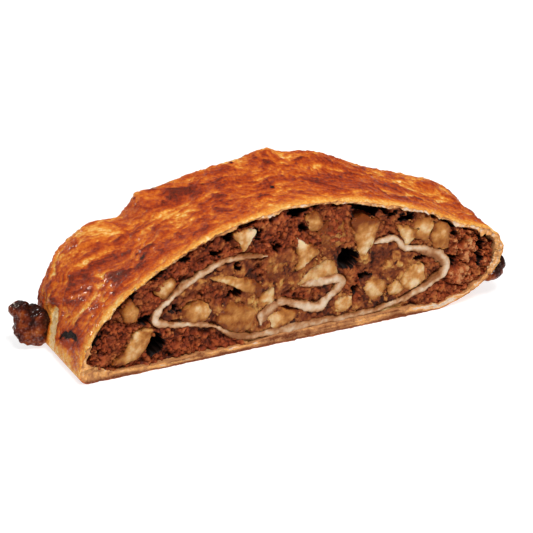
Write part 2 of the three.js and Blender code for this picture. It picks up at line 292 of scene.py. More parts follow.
# The streaks run round the roll, because the dough was stretched and brushed that way
# What is added to the places takes each pattern from another part of the noise
streaks = lumps(pulled * [0.3, 1, 1], 1.5, 3, 0.6)
blotches = lumps(pulled * [0.7, 1, 1] + [0, 0.3, 0], 4.6, 5, 0.5)
areas = lumps(pulled * [0.5, 1, 1] + [0, 0, 0.6], 11, 2)
pimples = lumps(sheet + [0, 0, 0.1], 0.9, 2)
leather = ridged(lumps(pulled * [0.75, 1, 1] + [0, 0, 0.4], 2, 3, 0.8))
wrinkles = ridged(lumps(pulled * [0.5, 1, 1] + [0, 0, 0.8], 7))
ragged = lumps(sheet + [0, 0, 0.3], 2.4)

BLISTER_COUNT = 170
BLISTER_SEED = 7
draw = np.random.default_rng(BLISTER_SEED)
blisters = np.zeros((WRAP_ROWS, WRAP_COLUMNS))
for _ in range(BLISTER_COUNT):
    place_round = draw.uniform(0.15, 0.72) * sweep_length[-1]
    place_along = draw.uniform(near_cut + 2 * MM, far_cut)
    reach = draw.uniform(0.7, 2.4) * MM
    height = draw.uniform(0.08, 0.22) * reach
    away = np.hypot((pulled[..., 0] - place_round) / 1.4, pulled[..., 1] - place_along) / reach
    blisters += height * (1 - smoothstep(0.3, 1, away))

# Two marks of the left flank: a strip where the crust split and left bare dough, and a slit painted near
# black, partly burnt crust and partly painted shade in the opening, with glazed dough below it.
# Both lines are given by the Y and Z of their ends.
SPLIT_ENDS = np.array([(3.6, 2.6), (6.4, 12.6)]) * MM
SLIT_ENDS = np.array([(0.6, 6.4), (-11.4, 10.4)]) * MM
SLIT_RISE = 2.2 * MM
GLAZE_DROP = 2.8 * MM
POINTED = 1.2 * MM  # how much farther off the ends of a line count


def near_line(y, z, ends, rise=0):
    """How far points of the left flank are from a line on it, which may arch and has pointed ends."""
    start, end = ends
    run = end - start
    place = np.stack([y, z], -1) - start
    share = np.clip(place @ run / (run @ run), 0, 1)
    to_end = (2 * share - 1) ** 2
    line = share[..., None] * run
    line[..., 1] += rise * (1 - to_end)
    return np.linalg.norm(place - line, axis=-1) + POINTED * to_end


left_flank = between(-56, -62, outside_xz[..., 0])
from_split = near_line(outside_y, outside_z, SPLIT_ENDS) + 0.5 * MM * ragged
from_slit = near_line(outside_y, outside_z, SLIT_ENDS, SLIT_RISE) + 0.8 * MM * ragged
from_glaze = near_line(outside_y, outside_z + GLAZE_DROP, SLIT_ENDS, SLIT_RISE) + 0.8 * MM * ragged
split = left_flank * (1 - between(2.3, 3.0, from_split))
slit = left_flank * (1 - between(0.9, 1.4, from_slit))
seared = left_flank * (1 - between(1.5, 3.4, from_slit))
glazed_foot = left_flank * (1 - between(1.0, 3.2, from_glaze))

# Specks of burnt flour: X, Y, Z and reach in millimetres
SPECKS = (
    (-43.9, -8.1, 30.9, 0.9), (-44.4, -4.6, 30.9, 0.5), (-0.4, -2.7, 42.7, 0.8), (9.7, -2.7, 42.5, 0.5),
    (-4.9, 15.7, 44.7, 0.6), (-36.7, 15.6, 39.6, 0.8), (-51.6, 14.5, 30.4, 1.0),
)
smooth_points = with_y(outside_xz, outside_y)
specks = np.zeros((WRAP_ROWS, WRAP_COLUMNS))
for x, y, z, reach in SPECKS:
    away = np.linalg.norm(smooth_points / MM - (x, y, z), axis=-1) / reach
    specks = np.maximum(specks, 1 - smoothstep(0.7, 1.25, away + 0.4 * pimples))

relief = 0.12 * MM * streaks + 0.30 * MM * blotches + 0.14 * MM * pimples
relief += 0.22 * MM * leather + 0.45 * MM * wrinkles + blisters
relief = crown * (relief - 0.35 * MM * np.exp(-from_cut / (0.6 * MM)))
relief += 0.25 * MM * specks - 0.4 * MM * split - 0.55 * MM * slit
outside_xz = outside_xz + outward * relief[..., None]
outside_xz[..., 1] = np.maximum(outside_xz[..., 1], 0)
outside_x = outside_xz[..., 0]
outside_z = outside_xz[..., 1]

# How baked the crust is, from 0 to 1, for its colours
bake = 0.49 + 0.34 * blotches + 0.16 * streaks + 0.24 * areas + 0.06 * leather + 0.18 * pimples
bake += 0.20 * (blisters / MM)
bake -= 0.06 * between(30, 50, outside_x)
bake += 0.10 * blotches * between(-30, -50, outside_x)

# It is golden and more even behind the cuts
GOLDEN_BAKE = 0.11
GOLDEN_MIDDLE = 0.47  # the bake elsewhere that becomes the golden one
golden = np.maximum(bell(from_near, 3.8), 0.6 * bell(from_far, 1.4))
bake = blend(bake, GOLDEN_BAKE + 0.30 * (bake - GOLDEN_MIDDLE), golden)
bake = np.clip(bake, 0.07, 0.88)

# The foot of the left flank stayed pale, but for its burnt rim, the glaze and a stain of juice
bake = np.maximum(np.minimum(bake + 0.22 * seared, 0.84), 0.64 * glazed_foot)
bake = blend(bake, 0.42 + 0.25 * blotches, 1 - between(0.5, 3, outside_z))
foot_top = (6.5 + 2.5 * areas + 1.5 * blotches) * MM
pale_foot = left_flank * between(-15, -9, outside_y)
pale_foot = pale_foot * (1 - between(-1, 1, outside_z - foot_top))
bake = blend(bake, np.clip(0.14 + 0.25 * blotches, 0.05, 1), pale_foot)
juice_y = (outside_y - 12 * MM) / (5.5 * MM)
juice_z = (outside_z - 7 * MM) / (6 * MM)
juice_stain = left_flank * np.exp(-(juice_y**2) - juice_z**2)
scorched_rim = left_flank * (1 - between(0.4, 1.5, outside_z))
bake = np.maximum(bake, (0.66 + 0.2 * blotches) * scorched_rim)
bake = np.maximum(bake, (0.72 + 0.3 * blotches) * juice_stain)
# The slit's near-black bake is partly burnt crust and partly painted shade in its opening
for mark, mark_bake in ((split, 0.02), (slit, 1.15), (specks, 1.0)):
    bake = blend(bake, mark_bake, mark)


def across_cut(outer, outer_y, inner, side):
    """Rows of points over the cut dough, from its outer to its inner edge, and how baked it is there."""
    shares = np.linspace(0, 1, CUT_ROWS + 2)[1:-1, None, None]
    risen = off_base(outer)
    lip = at_lip(outer)
    foot = at_left_foot(inner)
    edge_places = with_y(inner, side)
    torn = 0.6 * lumps(edge_places, 2.6) + 0.5 * lumps(edge_places + [0, 0.3, 0], 1.0, 2)
    torn = torn * (0.35 + 0.75 * risen) * (1 - 0.8 * foot) - 0.6 * foot
    inner = inner + (outer - inner) * torn[:, None]
    xz = blend(outer, inner, shares)
    x = xz[..., 0]
    rows = with_y(xz, side)
    tufts = lumps(rows, 1.2, 3, 0.6)
    layers = lumps(rows * [0.06, 1, 1], 1.2, 3, 0.6)
    patches = lumps(edge_places + [0, 0.6, 0], 5, 2)
    rows[..., 1] = outer_y + side * MM * ((0.42 + 0.5 * lip) * tufts + 0.20 * layers)

    # Browned at its outer edge and underneath, and scorched at the foot of the base in places
    deep = np.linalg.norm(xz - outer, axis=-1)
    on_crown = 0.18 + 0.42 * tufts + 0.35 * patches + 0.22 * at_left(outer)
    on_base = 0.65 + 0.60 * layers + 0.50 * patches + 0.25 * tufts
    on_base = on_base - 0.2 * smoothstep(0.6, 1, shares[..., 0])
    on_base = on_base - 0.40 * between(34, 50, x) + 0.14 * between(-54, -62, x)
    underside = bell(deep, 0.7) * (1 - risen)
    scorched = between(-40, -54, x) + between(28, 33, x) * between(45, 41, x)
    scorched = scorched * between(1.7, 0.5, xz[..., 1])
    doneness = blend(on_base, on_crown, risen) + 0.4 * bell(deep, 0.4)
    doneness = doneness + 0.35 * underside + 0.5 * scorched
    lip_layers = np.cos(2 * math.pi * (LIP_LAYERS * shares[..., 0] + 0.5 * patches))
    on_lip = 0.33 + 0.16 * lip_layers + 0.30 * tufts + 0.30 * patches
    return rows, np.clip(blend(doneness, on_lip, lip), 0, 1)


INSIDE_DONENESS = 0.6
inside_y = np.concatenate([far_cut - INSIDE_ROWS, near_cut + INSIDE_ROWS[::-1]])
inside_xz = rings_at(wrap_inside, inside_y)
inside_points = with_y(inside_xz, inside_y[:, None])
outside_points = with_y(outside_xz, outside_y)
far_points, far_doneness = across_cut(outside_xz[-1], outside_y[-1], inside_xz[0], 1)
near_points, near_doneness = across_cut(outside_xz[0], outside_y[0], inside_xz[-1], -1)
wrap_points = np.concatenate([outside_points, far_points, inside_points, near_points[::-1]])
inside_doneness = np.full(inside_xz.shape[:-1], INSIDE_DONENESS)
wrap_bake = np.concatenate([bake, far_doneness, inside_doneness, near_doneness[::-1]])
wrap_cut = np.ones(wrap_bake.shape)
wrap_cut[:WRAP_ROWS] = 0
wrap_faces = grid_faces(len(wrap_points), WRAP_COLUMNS, True, True)
wrap = add_piece("wrap", wrap_points, wrap_faces, "crust", ["outer_dough"], bake=wrap_bake, cut=wrap_cut)


def new_material(name, *pieces):
    """A material on some pieces, with its node tree and its shader."""
    material = bpy.data.materials.new(name)
    material.use_nodes = True
    for piece in pieces:
        piece.data.materials.append(material)
    return material.node_tree, material.node_tree.nodes["Principled BSDF"]


def set_inputs(node, values):
    """Gives a node's inputs their values, or links them to other nodes' outputs."""
    for name, value in values.items():
        if isinstance(value, bpy.types.NodeSocket):
            node.id_data.links.new(value, node.inputs[name])
        else:
            node.inputs[name].default_value = value


def mask_node(tree, mask):
    node = tree.nodes.new("ShaderNodeAttribute")
    node.attribute_name = mask
    return node.outputs["Fac"]


def colour_ramp(tree, value, stops):
    """A colour for each value, between stops of a place and a colour."""
    node = tree.nodes.new("ShaderNodeValToRGB")
    elements = node.color_ramp.elements
    while len(elements) < len(stops):
        elements.new(0.5)
    for element, (place, colour) in zip(elements, stops):
        element.position = place
        element.color = (*colour, 1)
    set_inputs(node, {"Fac": value})
    return node.outputs["Color"]


def mix_colours(tree, share, first, second):
    node = tree.nodes.new("ShaderNodeMixRGB")
    set_inputs(node, {"Fac": share, "Color1": first, "Color2": second})
    return node.outputs["Color"]


def spread(tree, value, low, high, least=0.0, most=1.0):
    """A value from the least to the most, which are 0 and 1 if not given, spread between two others."""
    node = tree.nodes.new("ShaderNodeMapRange")
    set_inputs(node, {"Value": value, "From Min": least, "From Max": most, "To Min": low, "To Max": high})
    return node.outputs["Result"]


def computed(tree, operation, *terms):
    """What a sum or a product of numbers and other nodes' outputs comes to."""
    node = tree.nodes.new("ShaderNodeMath")
    node.operation = operation
    set_inputs(node, dict(enumerate(terms)))
    return node.outputs[0]


def vary(tree, value, grain, amount):
    """A value made to vary by an amount with the grain, which is about one half."""
    return computed(tree, "MULTIPLY_ADD", computed(tree, "SUBTRACT", grain, 0.5), amount, value)


def make_grain():
    """Fine uneven grain that every food surface has, as a mask and as a height."""
    group = bpy.data.node_groups.new("food_grain", "ShaderNodeTree")
    for socket, way in (("Size", "INPUT"), ("Grain", "OUTPUT"), ("Height", "OUTPUT")):
        group.interface.new_socket(socket, in_out=way, socket_type="NodeSocketFloat")
    inputs = group.nodes.new("NodeGroupInput")
    outputs = group.nodes.new("NodeGroupOutput")
    place = group.nodes.new("ShaderNodeTexCoord").outputs["Object"]
    scale = computed(group, "DIVIDE", 1.0, inputs.outputs["Size"])
    fine = group.nodes.new("ShaderNodeTexNoise")
    set_inputs(fine, {"Vector": place, "Scale": scale, "Detail": 4, "Roughness": 0.65})
    pores = group.nodes.new("ShaderNodeTexVoronoi")
    set_inputs(pores, {"Vector": place, "Scale": scale})
    height = computed(group, "MULTIPLY_ADD", pores.outputs["Distance"], 0.35, fine.outputs["Fac"])
    set_inputs(outputs, {"Grain": fine.outputs["Fac"], "Height": height})
    return group


food_grain = make_grain()


def grain_node(tree, size):
    """The grain's mask and height, with a size in millimetres."""
    node = tree.nodes.new("ShaderNodeGroup")
    node.node_tree = food_grain
    set_inputs(node, {"Size": size * MM})
    return node.outputs["Grain"], node.outputs["Height"]


def roughen(tree, shader, height, distance, strength):
    """Fine bumps of a height, which is up to a distance in millimetres."""
    node = tree.nodes.new("ShaderNodeBump")
    set_inputs(node, {"Height": height, "Distance": distance * MM, "Strength": strength})
    set_inputs(shader, {"Normal": node.outputs["Normal"]})


def let_light_in(shader, weight, red, green, blue):
    """Soft light inside moist food, with how far each colour goes in millimetres."""
    reach = (red * MM, green * MM, blue * MM)
    set_inputs(shader, {"Subsurface Weight": weight, "Subsurface Radius": reach, "Subsurface Scale": 1.0})


BAKED_COLOURS = (
    (0.00, (0.92, 0.66, 0.36)),
    (0.07, (0.84, 0.48, 0.125)),
    (0.16, (0.79, 0.31, 0.040)),
    (0.32, (0.65, 0.150, 0.013)),
    (0.52, (0.46, 0.062, 0.006)),
    (0.72, (0.27, 0.026, 0.005)),
    (0.88, (0.11, 0.014, 0.005)),
    (1.00, (0.012, 0.006, 0.005)),
)
CUT_DOUGH_COLOURS = (
    (0.0, (0.74, 0.58, 0.44)),
    (0.3, (0.77, 0.365, 0.112)),
    (0.6, (0.47, 0.20, 0.075)),
    (1.0, (0.17, 0.04, 0.011)),
)
tree, shader = new_material("baked_crust", wrap)
grain, grain_height = grain_node(tree, 0.45)
mottle = grain_node(tree, 1.3)[0]
bake_value = vary(tree, vary(tree, mask_node(tree, "bake"), mottle, 0.45), grain, 0.4)
crust_colour = colour_ramp(tree, bake_value, BAKED_COLOURS)
dough_colour = colour_ramp(tree, bake_value, CUT_DOUGH_COLOURS)
cut_mask = mask_node(tree, "cut")
egg_wash = spread(tree, mottle, 0.0, 1.0, 0.56, 0.63)
unburnt = spread(tree, bake_value, 1.0, 0.0, 0.78, 0.92)
on_crust = spread(tree, cut_mask, 1.0, 0.0)
glossy = computed(tree, "MULTIPLY", computed(tree, "MULTIPLY", egg_wash, unburnt), on_crust)
set_inputs(shader, {
    "Base Color": mix_colours(tree, cut_mask, crust_colour, dough_colour),
    "Roughness": spread(tree, grain, 0.35, 0.65),
    "Specular IOR Level": 0.1,
    "Coat Weight": glossy,
    "Coat Roughness": 0.15,
    "Coat IOR": 1.45,
})
let_light_in(shader, 0.06, red=1.6, green=0.7, blue=0.3)
roughen(tree, shader, grain_height, distance=0.3, strength=0.8)


# The inner dough
# The same sheet goes on inside the roll: one turn round the core, then a fold at its end.
# It steamed in the filling, so it stayed soft and cream white, and the knife left it uneven.
SHEET_STEP = 0.4 * MM
SHEET_SETBACK = 0.55 * MM  # behind the cuts
TURN_THICKNESS = 1.4 * MM
FOLD_THICKNESS = 1.6 * MM
ON_BASE = 3.9  # height of the run that lies on the base, in millimetres
# The sheets' middle lines, as X and Z in millimetres
INNER_TURN = (
    (-9, 28.4), (-19.5, 29.6), (-30.5, 26.4), (-40, 20.6), (-43.6, 17.2), (-44.2, 15), (-42.2, 13.6),
    (-34, 11.8), (-27, 10), (-21.5, 6.6), (-14, ON_BASE), (6, ON_BASE), (26, ON_BASE), (38, 6.2),
    (47, 9.4), (51, 13.6), (48.4, 18), (42, 20.8), (36.6, 22.4), (32.4, 26), (26, 25.8),
)
CORE_FOLD = (
    (-11.4, 7), (-9.5, 10.2), (-5.8, 12.8), (-2, 12.3), (3, 10.2), (7.4, 8.9), (9.2, 9.6), (14.4, 14.2),
    (15.2, 15.8), (13.4, 16.6), (7, 17), (2, 17.2),
)
# Where the sheets are thicker or thinner: X, Z, reach and how much
PINCHED = (
    (-43.6, 15, 3.4, 0.75), (-9, 10.4, 3, 0.6), (14.6, 14.8, 3, 0.75), (49.6, 14, 9, 0.5),
    (-26, 10, 8, -0.3), (-12, 29, 6, -0.3), (0, 3.9, 15, 0.7),
)
# Where juice has stained the sheets: X, Z, reach and how much
STEEPED = (
    (-16, 29.4, 10, 0.24), (-30, 26.4, 7, 0.2), (-42, 18.5, 5, 0.2), (-27, 10, 7, 0.42),
    (-20, 6, 7, 0.34), (36, 5.6, 7, 0.2),
)
SHEET_BEHIND = np.array([0.0, 0.3, 0.7, 1.2, 1.9, 2.8, 4, 6, 10]) * MM  # rows behind each cut
SHEET_ACROSS = np.linspace(-1, 1, 9)[1:-1]  # rows over the cut edge
CURVE_STEPS = 40  # between two places of a line


def curve_through(places, step):
    """Even points on a smooth curve through places in millimetres, and how far along they are."""
    knots = np.array(places) * MM
    padded = np.concatenate([2 * knots[:1] - knots[1:2], knots, 2 * knots[-1:] - knots[-2:-1]])
    share = np.linspace(0, 1, CURVE_STEPS, endpoint=False)[:, None]
    spans = []
    for a, b, c, d in zip(padded, padded[1:], padded[2:], padded[3:]):
        cubic = -a + 3 * b - 3 * c + d
        square = 2 * a - 5 * b + 4 * c - d
        spans.append(0.5 * (2 * b + (c - a) * share + square * share**2 + cubic * share**3))
    points = np.concatenate(spans + [knots[-1:]])
    length = np.concatenate([[0], np.cumsum(np.linalg.norm(np.diff(points, axis=0), axis=1))])
    even = np.linspace(0, length[-1], int(length[-1] / step))
    return np.stack([np.interp(even, length, points[:, k]) for k in (0, 1)], -1), even


def with_spots(values, points, spots):
    """Values along a line, changed by round spots that have an X, a Z, a reach and an amount."""
    for x, z, reach, amount in spots:
        away = np.linalg.norm(points / MM - (x, z), axis=1) / reach
        values = values + amount * np.exp(-(away**2))[:, None]
    return values


def dough_sheet(node, places, thickness, seed):
    """A sheet of inner dough on its edge, of uneven thickness, torn a little where it is cut."""
    points, run = curve_through(places, SHEET_STEP)
    along = np.gradient(points, axis=0)
    along /= np.linalg.norm(along, axis=1, keepdims=True)
    across = np.stack([-along[:, 1], along[:, 0]], -1)

    # Each place on the line has a loop of points round the sheet: one side, far edge, other side, near edge
    near_y = near_cut + SHEET_SETBACK
    far_y = far_cut - SHEET_SETBACK
    face_y = np.concatenate([near_y + SHEET_BEHIND, far_y - SHEET_BEHIND[::-1]])
    edge = np.ones(len(SHEET_ACROSS))
    one_side = np.ones(len(face_y))
    loop_y = np.concatenate([face_y, far_y * edge, face_y[::-1], near_y * edge])
    loop_side = np.concatenate([one_side, SHEET_ACROSS[::-1], -one_side, SHEET_ACROSS])
    flat = np.zeros((len(points), len(loop_y), 3))
    flat[..., 0] = run[:, None]
    flat[..., 1] = loop_y
    flat[..., 2] = seed
    in_plane = flat * [1, 0, 1]

    # It is thinner at its two ends and swollen on the inside of the bend at the right
    thick = 1.1 + 0.55 * lumps(flat, 5, 2) + 0.45 * lumps(flat, 1.6, 3, 0.6)
    thick = with_spots(thick, points, PINCHED)
    tapered = between(0, 2, np.minimum(run, run[-1] - run))[:, None]
    half = 0.5 * thickness * thick * (0.3 + 0.7 * tapered)
    sway = 0.45 * MM * lumps(flat + [0, 0, 0.5], 4)
    right_bend = between(36, 46, points[:, :1])
    offset = sway + loop_side * half * (1 + 0.7 * right_bend * np.maximum(loop_side, 0))
    rows = np.zeros_like(flat)
    rows[..., 0] = points[:, :1] + across[:, :1] * offset
    rows[..., 2] = points[:, 1:] + across[:, 1:] * offset
    torn = 0.5 * MM * lumps(in_plane + [0, 0, 0.9], 4) + 0.20 * MM * lumps(rows, 0.9, 2)
    drawn_in = torn + 0.2 * MM * loop_side**6
    rows[..., 1] = loop_y + (bell(loop_y - near_y, 1.2) - bell(loop_y - far_y, 1.2)) * drawn_in

    # Stained behind the cut, near the base and where it steeped in juice; darker at its two sides, which is
    # stain where it lies in the crumb and painted shade at the edges of its cut face
    behind = np.minimum(rows[..., 1] - near_cut, far_cut - rows[..., 1])
    # The term with loop_side is stain on the sides in the crumb and painted shade at the rounded edges of
    # the cut face
    stain = 0.22 + 0.45 * between(0.8, 3, behind) + 0.50 * loop_side**2
    stain = stain + 0.55 * lumps(rows, 3.5, 4, 0.7) + 0.35 * lumps(in_plane, 13, 2)
    stain = stain + 0.26 * between(6.4, 4.8, rows[..., 2])
    stain = stain + 0.5 * right_bend * smoothstep(0, 0.9, loop_side)
    stain = with_spots(stain, points, STEEPED)

    around = len(loop_y)
    last_row = (len(points) - 1) * around
    faces = list(grid_faces(len(points), around, False, True))
    faces += [range(around)[::-1], range(last_row, last_row + around)]
    return add_piece(node, rows, faces, "dough", [node], stain=np.clip(stain, 0, 1))


inner_turn = dough_sheet("inner_turn", INNER_TURN, TURN_THICKNESS, seed=0.0)
core_fold = dough_sheet("core_fold", CORE_FOLD, FOLD_THICKNESS, seed=3.0)

SOFT_DOUGH_COLOURS = (
    (0.0, (0.67, 0.51, 0.37)),
    (0.35, (0.54, 0.35, 0.21)),
    (0.65, (0.42, 0.20, 0.085)),
    (1.0, (0.25, 0.085, 0.022)),
)
tree, shader = new_material("soft_dough", inner_turn, core_fold)
grain, grain_height = grain_node(tree, 0.45)
darkness_value = vary(tree, mask_node(tree, "stain"), grain, 0.25)
set_inputs(shader, {
    "Base Color": colour_ramp(tree, darkness_value, SOFT_DOUGH_COLOURS),
    "Roughness": spread(tree, grain, 0.4, 0.66),
    "Specular IOR Level": 0.25,
})
let_light_in(shader, 0.25, red=2.2, green=1.4, blue=0.8)
roughen(tree, shader, grain_height, distance=0.12, strength=0.5)


# The apple
# Peeled apple was cut into dice, wedges and slices, and cooked soft inside the roll.
# The flesh is cream to yellow, glassy where it is cooked through, and stained by the crumb round it.
APPLE_VOXEL = 0.42 * MM
APPLE_ROUNDING = 3
# How cooked and stained each kind is, from 0 to 1, and which way across and up it gets darker
COOKED_THROUGH = {
    "pale_flap": (0.36, 0.4, 0.4), "small_wedge": (0.28, -0.5, 0.5), "by_core": (0.26, 0, 0),
    "under_crown": (0.08, -0.9, 0.3), "leaning_wedge": (0.36, 0.6, -0.6), "standing_wedge": (0.62, -0.3, 1),
    "round_large": (0.36, 0, 0), "round_middle": (0.60, 0, 0), "round_small": (0.42, 0, 0),
    "right_wedge": (0.36, 0.6, 0.6), "long_sliver": (0.58, 0.8, -0.3), "long_slice": (0.60, -0.6, -0.2),
    "under_core": (0.58, 0.7, 0.3), "right_block": (0.78, -1, 0), "in_left_turn": (0.66, -1, 0),
    "large_chunk": (0.80, -0.6, -0.4), "left_small": (0.78, 0, 0), "brown_block": (0.92, 0, 0.6),
    "thin_edge": (0.78, 0.8, 0), "middle_chunk": (1.00, 0, 0), "broad_chunk": (0.98, -0.6, 0.5),
    "right_chunk": (0.62, 0, 0), "over_left_turn": (0.68, 0, 0),
}
SHEET_LIKE = ("pale_flap",)  # lies against the fold of dough
# The crumb runs over these in places
HALF_BURIED = ("broad_chunk", "middle_chunk", "brown_block", "over_left_turn")
# Near pieces with an outline of their own at the cut, as X and Z in millimetres
NEAR_OUTLINES = {
    "pale_flap": (
        (-0.8, 16.8), (4.2, 20.8), (9.4, 23.8), (13.4, 23.2), (15, 18), (12.6, 16.6), (6, 17), (2, 17),
    ),
    "standing_wedge": (
        (18.6, 34.2), (23, 34.8), (27.6, 32.4), (26, 28.6), (24.8, 25), (22.4, 21.2), (20.6, 23.4),
    ),
    "long_slice": (
        (-50.4, 13.2), (-45.2, 12.8), (-46.6, 9), (-49.6, 5.4), (-54, 3.2), (-58, 4.2), (-52.8, 9),
    ),
    "long_sliver": (
        (-28.2, 25.2), (-25, 25.5), (-13, 21.4), (-11, 19), (-11.8, 16.2), (-16.5, 19.2), (-22.3, 22.4),
    ),
}
OUTLINED_DEPTH = 7 * MM
apple_nodes = sorted(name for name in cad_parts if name.startswith("apple_"))


def outlined_mesh(outline):
    """A plain slab between an outline at the near cut and the same behind it."""
    front = [(x * MM, near_cut, z * MM) for x, z in outline]
    rear = [(x, y + OUTLINED_DEPTH, z) for x, y, z in front]
    count = len(front)
    sides = [(a, (a + 1) % count, (a + 1) % count + count, a + count) for a in range(count)]
    mesh = bpy.data.meshes.new("outlined")
    mesh.from_pydata(front + rear, [], [range(count)[::-1], range(count, 2 * count), *sides])
    return mesh


def remeshed(mesh, voxel, rounding):
    """Points, normals and faces of a mesh, remade with small even faces and rounded edges."""
    holder = bpy.data.objects.new("holder", mesh)
    bpy.context.scene.collection.objects.link(holder)
    remesh = holder.modifiers.new("remesh", "REMESH")
    remesh.mode = "VOXEL"
    remesh.voxel_size = voxel
    smooth = holder.modifiers.new("smooth", "SMOOTH")
    smooth.factor = 0.5
    smooth.iterations = rounding
    made = holder.evaluated_get(bpy.context.evaluated_depsgraph_get()).to_mesh()
    points = np.empty(len(made.vertices) * 3)
    made.vertices.foreach_get("co", points)
    normals = np.empty(len(made.vertices) * 3)
    made.vertices.foreach_get("normal", normals)
    faces = [face.vertices[:] for face in made.polygons]
    bpy.data.objects.remove(holder)
    return points.reshape(-1, 3), normals.reshape(-1, 3), faces


# Ways out from the middle of a piece, along which its rim at the cut is looked for
RIM_COUNT = 32
RIM_TURNS = np.linspace(0, 2 * math.pi, RIM_COUNT, endpoint=False)
RIM_WAYS = np.stack([np.cos(RIM_TURNS), np.sin(RIM_TURNS)])
FRONT_DEPTH = 1.5 * MM  # points no farther behind the cut belong to the front
BURIED_DEPTH = 0.6 * MM
APPLE_SEED = 11
draw = np.random.default_rng(APPLE_SEED)
apple_pieces = []
for number, node in enumerate(apple_nodes):
    kind = node.split("_", 2)[2]
    side = -1 if node.startswith("apple_near") else 1
    if side < 0 and kind in NEAR_OUTLINES:
        mesh = outlined_mesh(NEAR_OUTLINES[kind])
    else:
        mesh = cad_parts[node].data.copy()
    points, normals, faces = remeshed(mesh, APPLE_VOXEL, APPLE_ROUNDING)
    seeded = points + [0, 0, 0.05 * number]
    soft = lumps(seeded, 5, 2)
    dents = lumps(seeded + [0.4, 0, 0], 2, 2)
    fibres = lumps(seeded * [1, 1, 0.35], 0.9, 2)
    swell = 0.25 * MM + 0.6 * MM * soft + 0.65 * MM * dents
    if kind in SHEET_LIKE:
        swell = 0.5 * MM + 0.15 * MM * soft
    points = points + normals * swell[:, None]

    # The knife went through the piece, so its front is nearly flat
    cut_y = near_cut if side < 0 else far_cut
    spots = points[:, (0, 2)] - points[:, (0, 2)].mean(0)
    at_front = side * (points[:, 1] - cut_y) > -FRONT_DEPTH
    reach = spots @ RIM_WAYS
    to_rim = np.maximum((reach[at_front].max(0) - reach).min(1), 0)
    rim = bell(to_rim, 1.1)
    sunk = draw.uniform(0.05, 0.45) * MM + spots @ draw.uniform(-0.07, 0.07, 2)
    sunk = sunk + 0.45 * MM * rim
    if kind in HALF_BURIED:
        sunk = sunk + BURIED_DEPTH
    sunk = sunk + 0.22 * MM * dents + 0.10 * MM * fibres
    if kind in SHEET_LIKE:
        sunk = sunk + SHEET_SETBACK
    out = np.minimum(side * (points[:, 1] - cut_y), -sunk)
    points[:, 1] = cut_y + side * out

    # Paler in its middle and to one side, browned at its edges and where the crumb lies against it
    cooked, darker_x, darker_z = COOKED_THROUGH[kind]
    one_way = np.clip(spots @ [darker_x, darker_z] / (1.4 * spots.std()), -1, 1)
    stain = cooked - 0.12 + 0.30 * one_way + 0.42 * rim * (1 - 0.6 * cooked) * (1 + 0.8 * dents)
    stain = stain + 0.50 * lumps(seeded, 4.5, 4, 0.6) + 0.15 * between(0.6, 3, -out)
    if kind in SHEET_LIKE:
        stain = cooked + 0.15 * one_way + 0.30 * lumps(seeded, 4, 4, 0.6)
    apple_pieces.append(add_piece(node, points, faces, "apple", [node], stain=np.clip(stain, 0, 1)))

APPLE_COLOURS = (
    (0.00, (0.70, 0.51, 0.30)),
    (0.20, (0.61, 0.38, 0.175)),
    (0.40, (0.51, 0.230, 0.066)),
    (0.60, (0.38, 0.146, 0.032)),
    (0.80, (0.29, 0.090, 0.017)),
    (1.00, (0.16, 0.034, 0.007)),
)
tree, shader = new_material("cooked_apple", *apple_pieces)
grain, grain_height = grain_node(tree, 0.6)
darkness_value = vary(tree, mask_node(tree, "stain"), grain, 0.35)
set_inputs(shader, {
    "Base Color": colour_ramp(tree, darkness_value, APPLE_COLOURS),
    "Roughness": spread(tree, grain, 0.22, 0.5),
    "Specular IOR Level": 0.08,
    "Coat Weight": spread(tree, grain, 0.0, 0.8, 0.58, 0.66),
    "Coat Roughness": 0.2,
})
let_light_in(shader, 0.35, red=2.6, green=1.2, blue=0.4)
roughen(tree, shader, grain_height, distance=0.15, strength=0.5)


# The crumb filling
# Ground nuts and bread crumbs with cinnamon, packed between the turns of dough and moist with juice.
# Inside the inner turn it has gone to an amber mush of cooked apple, with gaps and open hollows that are
# painted near black as shade.
CRUMB_SEED = 23
CRUMB_COLUMNS = 440
CRUMB_ROWS = 110
CRUMB_SETBACK = 1.0 * MM
CRUMB_LAP = 0.25 * MM  # how far it runs into the dough round it
CRUMB_HEART = np.array([0, 0, 14 * MM])
CRUMB_CORE = 4 * MM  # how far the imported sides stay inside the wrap
CORE_BEHIND = 6 * MM  # how far behind the faces they begin
CORE_SHADE = 0.3
GRAIN_COUNT = 20000
GRAIN_REACH = 0.38  # half the size of a usual grain, in millimetres
BIT_COUNT = 900  # bits of apple in the mush
BIT_REACH = 1.1  # half the size of a usual bit
BIT_LEAST = -1  # a bit shows where it is higher than this
JUMBLE_FLOOR = -1.2  # height and tone between the grains
FLOOR_TONE = 0.2
HOLLOW_DEPTH = 9 * MM
LOOK_FROM = 5 * MM  # rays at what is bedded start this far before the cut
LOOK_REACH = 8.5 * MM
# Open hollows and gaps: X, Z, width and height in millimetres
HOLLOWS = (
    (-63.4, 15, 3.6, 9), (-44.9, 7.7, 6, 6.8), (-47.4, 15.9, 4, 2.4), (-51.9, 25, 3.4, 4.4),
    (-43.8, 29.6, 5, 3.2), (-34.8, 33.6, 3.6, 4), (-24.9, 31.9, 3.6, 1.8), (-20.9, 37, 2.6, 4.4),
    (-11.8, 35.6, 2, 3.8), (-5.6, 30.4, 2, 2.4), (-18.5, 27.4, 2.2, 2.6), (-38.6, 17.6, 3.6, 2.2),
    (-19.1, 18.8, 4, 2.2), (1, 40.6, 6, 3.6), (2.6, 35, 3, 2.4), (22.8, 36.8, 9, 6),
    (17.2, 22.6, 6.6, 6.4), (31.2, 34.2, 3.9, 1.9), (36.6, 32, 5.4, 2.4), (50.4, 28, 6, 2.4),
    (53, 23.9, 2.8, 1.4), (53.6, 14.9, 2.4, 2.4), (62.4, 16.3, 2.6, 8.6), (19.8, 12.4, 2.2, 3),
    (22.7, 16.1, 3.4, 1.6), (42, 18.4, 6, 1.6),
)
